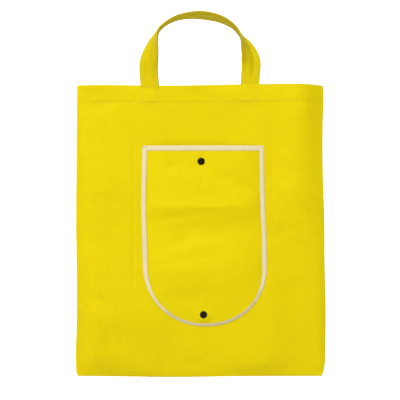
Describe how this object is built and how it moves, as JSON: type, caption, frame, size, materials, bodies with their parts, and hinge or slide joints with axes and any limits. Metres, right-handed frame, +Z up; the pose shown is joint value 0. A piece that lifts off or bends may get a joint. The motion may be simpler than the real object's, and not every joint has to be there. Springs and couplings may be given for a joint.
{
  "type": "foldable tote bag",
  "caption": "Flat non-woven cloth tote with two short strap handles and a round-footed front pocket, bound in pale tape and fastened by press studs, that the bag folds into.",
  "frame": {"origin": "where the bag hangs: the middle of the underside of the two strap loops, midway between the front and the back strap", "axes": "+Z up, -Y towards the front with the pocket, +X to the right as seen from the front"},
  "size_m": [0.36, 0.06, 0.5295],
  "materials": {
    "body_cloth": "matte",
    "strap_cloth": "matte",
    "pocket_cloth": "matte",
    "binding_tape": "matte",
    "snap_plastic": "satin"
  },
  "bodies": {
    "bag": {"front_panel_center": "body_cloth", "back_panel_center": "body_cloth", "front_hem_center": "body_cloth", "back_hem_center": "body_cloth", "bottom_fold_center": "body_cloth", "front_strap_end_left": "strap_cloth", "front_strap_end_right": "strap_cloth", "back_strap_end_left": "strap_cloth", "back_strap_end_right": "strap_cloth", "pocket_panel": "pocket_cloth", "pocket_edge_binding": "binding_tape", "pocket_mouth_binding": "binding_tape", "top_snap_cap": "snap_plastic", "top_snap_socket": "snap_plastic", "bottom_snap_cap": "snap_plastic", "bottom_snap_stud": "snap_plastic"},
    "left_side": {"front_panel_left": "body_cloth", "back_panel_left": "body_cloth", "front_hem_left": "body_cloth", "back_hem_left": "body_cloth", "bottom_fold_left": "body_cloth", "left_side_seam": "body_cloth"},
    "right_side": {"front_panel_right": "body_cloth", "back_panel_right": "body_cloth", "front_hem_right": "body_cloth", "back_hem_right": "body_cloth", "bottom_fold_right": "body_cloth", "right_side_seam": "body_cloth"},
    "front_strap": {"front_handle": "strap_cloth"},
    "back_strap": {"back_handle": "strap_cloth"}
  },
  "joints": [
    {"name": "left_side_fold", "type": "hinge", "parent": "bag", "child": "left_side", "pos_m": [-0.09, 0.0078, -0.315], "axis": [0, 0, -1], "range_deg": [0, 178]},
    {"name": "right_side_fold", "type": "hinge", "parent": "bag", "child": "right_side", "pos_m": [0.102, 0.0078, -0.315], "axis": [0, 0, 1], "range_deg": [0, 178]},
    {"name": "front_strap_swing", "type": "hinge", "parent": "bag", "child": "front_strap", "pos_m": [0, -0.008, -0.1027], "axis": [1, 0, 0], "range_deg": [0, 150]},
    {"name": "back_strap_swing", "type": "hinge", "parent": "bag", "child": "back_strap", "pos_m": [0, 0.008, -0.1027], "axis": [-1, 0, 0], "range_deg": [0, 82]}
  ]
}
